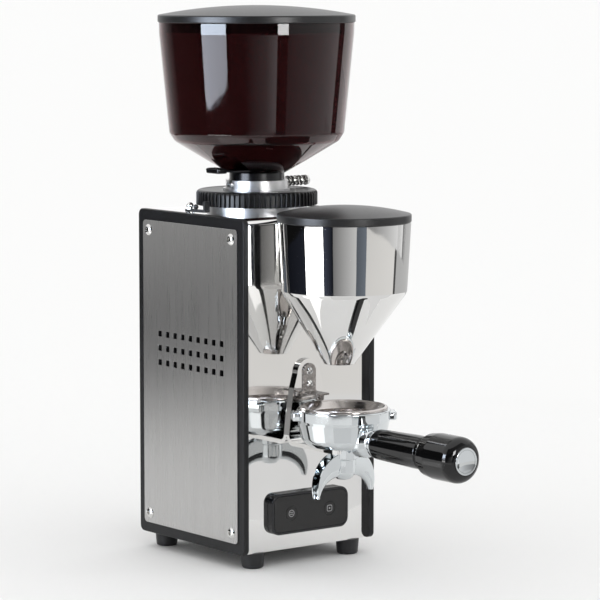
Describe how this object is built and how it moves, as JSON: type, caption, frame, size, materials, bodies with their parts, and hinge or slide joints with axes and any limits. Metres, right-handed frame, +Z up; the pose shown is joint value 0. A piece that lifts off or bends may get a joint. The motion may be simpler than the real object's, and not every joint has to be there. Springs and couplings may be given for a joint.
{
  "type": "burr coffee grinder",
  "caption": "Direct-drive flat burr coffee grinder: steel body, smoked bean hopper, adjusting ring, polished grounds funnel, and a fork that holds a double-spout portafilter.",
  "frame": {"origin": "middle of the housing's footprint, on the surface that the feet stand on", "axes": "+X to the right seen from the front, -Y to the front, where the funnel and portafilter are, +Z up"},
  "size_m": [0.1614, 0.3447, 0.45],
  "materials": {
    "black_cover": "satin black powder coat",
    "brushed_plate": "vertical brushed grain",
    "polished_sheet": "mirror polished stainless sheet",
    "dark_sheet": "fine textured dark paint",
    "steel_screw": "bright zinc-plated",
    "zinc_casting": "as cast",
    "foot_rubber": "matte black rubber",
    "control_plastic": "matte dark warm grey",
    "control_frame": "gloss black",
    "circuit_board": "green solder mask",
    "capacitor_can": "drawn can",
    "inlet_plastic": "black moulded plastic",
    "rocker_plastic": "red gloss",
    "motor_case": "cast and turned",
    "lamination_steel": "stacked laminations",
    "copper_winding": "varnished copper wire",
    "bright_steel": "ground bearing steel",
    "chamber_casting": "turned casting",
    "seal_rubber": "black nitrile",
    "burr_steel": "ground tool steel",
    "ring_plastic": "satin black with ribs",
    "collar_metal": "turned",
    "neck_plastic": "gloss black",
    "smoked_plastic": "smoked brown clear plastic",
    "lid_plastic": "satin black",
    "polished_steel": "mirror polished stainless",
    "clip_steel": "greyish tumbled steel",
    "chromed_brass": "bright chrome",
    "basket_steel": "pressed stainless",
    "handle_plastic": "gloss black"
  },
  "bodies": {
    "housing": {"left_side_cover": "black_cover", "right_side_cover": "black_cover", "left_side_plate": "brushed_plate", "right_side_plate": "brushed_plate", "plate_screws": "steel_screw", "front_top_panel": "polished_sheet", "rear_panel": "dark_sheet", "rear_panel_screws": "steel_screw", "base_plate": "dark_sheet", "cover_mounting_lugs": "zinc_casting", "feet": "foot_rubber", "foot_screws": "steel_screw", "control_box_frame": "control_frame", "control_face": "control_plastic", "control_board": "circuit_board", "power_board": "circuit_board", "run_capacitor": "capacitor_can", "power_inlet": "inlet_plastic", "switch_housing": "inlet_plastic", "motor_housing": "motor_case", "top_end_bell": "motor_case", "stator_core": "lamination_steel", "stator_windings": "copper_winding", "bearing_outer_races": "bright_steel", "grind_chamber": "chamber_casting", "chamber_fasteners": "steel_screw", "shaft_seal": "seal_rubber", "lever_cap_nut": "steel_screw", "grounds_funnel": "polished_steel", "portafilter_fork": "polished_steel", "rim_clip": "clip_steel", "front_panel_screws": "steel_screw"},
    "spindle": {"rotor_core": "lamination_steel", "motor_shaft": "bright_steel", "bearing_inner_races": "bright_steel", "lower_burr_carrier": "chamber_casting", "lower_burr": "burr_steel", "lower_burr_screws": "steel_screw", "burr_nut": "steel_screw"},
    "grind_ring": {"adjusting_ring": "ring_plastic"},
    "burr_lift": {"upper_burr_carrier": "chamber_casting", "upper_burr": "burr_steel", "upper_burr_screws": "steel_screw", "hopper_clamp_ring": "collar_metal", "hopper_pin_spring": "bright_steel"},
    "pin": {"hopper_pin": "steel_screw"},
    "bean_hopper": {"hopper": "smoked_plastic", "hopper_neck": "neck_plastic"},
    "gate": {"gate_slide": "neck_plastic"},
    "hopper_cover": {"hopper_lid": "lid_plastic"},
    "funnel_cover": {"funnel_lid": "lid_plastic"},
    "lever": {"lock_lever": "dark_sheet"},
    "left_button": {"left_key": "control_plastic"},
    "right_button": {"right_key": "control_plastic"},
    "rocker": {"switch_rocker": "rocker_plastic"},
    "portafilter": {"portafilter_body": "chromed_brass", "filter_basket": "basket_steel", "double_spout": "chromed_brass", "handle_grip": "handle_plastic", "handle_end_cap": "chromed_brass"}
  },
  "joints": [
    {"name": "spindle_spin", "type": "hinge", "parent": "housing", "child": "spindle", "pos_m": [0, -0.0014, 0.15], "axis": [0, 0, 1], "continuous": true},
    {"name": "ring_turn", "type": "hinge", "parent": "housing", "child": "grind_ring", "pos_m": [0, -0.0014, 0.2938], "axis": [0, 0, 1], "range_deg": [-62, 302]},
    {"name": "burr_lift_slide", "type": "slide", "parent": "housing", "child": "burr_lift", "axis": [0, 0, 1], "range_m": [-0.00025, 0.00125]},
    {"name": "pin_pull", "type": "slide", "parent": "burr_lift", "child": "pin", "axis": [1, 0, 0], "range_m": [0, 0.004], "stiffness_N_per_m": 400, "springref_m": -0.002},
    {"name": "hopper_lift", "type": "slide", "parent": "burr_lift", "child": "bean_hopper", "axis": [0, 0, 1], "range_m": [0, 0.05]},
    {"name": "gate_pull", "type": "slide", "parent": "bean_hopper", "child": "gate", "axis": [-1, 0, 0], "range_m": [0, 0.038]},
    {"name": "hopper_lid_lift", "type": "slide", "parent": "bean_hopper", "child": "hopper_cover", "axis": [0, 0, 1], "range_m": [0, 0.06]},
    {"name": "funnel_lid_lift", "type": "slide", "parent": "housing", "child": "funnel_cover", "axis": [0, 0, 1], "range_m": [0, 0.05]},
    {"name": "lever_turn", "type": "hinge", "parent": "housing", "child": "lever", "pos_m": [-0.0564, 0.014, 0.2842], "axis": [0, 0, -1], "range_deg": [0, 30]},
    {"name": "left_key_press", "type": "slide", "parent": "housing", "child": "left_button", "axis": [0, 1, 0], "range_m": [0, 0.0006], "stiffness_N_per_m": 2000},
    {"name": "right_key_press", "type": "slide", "parent": "housing", "child": "right_button", "axis": [0, 1, 0], "range_m": [0, 0.0006], "stiffness_N_per_m": 2000},
    {"name": "rocker_tilt", "type": "hinge", "parent": "housing", "child": "rocker", "pos_m": [-0.028, 0.0694, 0.048], "axis": [1, 0, 0], "range_deg": [0, 14]},
    {"name": "portafilter_pull", "type": "slide", "parent": "housing", "child": "portafilter", "axis": [0, -1, 0], "range_m": [0, 0.09]}
  ],
  "couplings": [
    {"joint": "ring_turn", "follows": "burr_lift_slide", "rad_per_m": 4188.8}
  ]
}
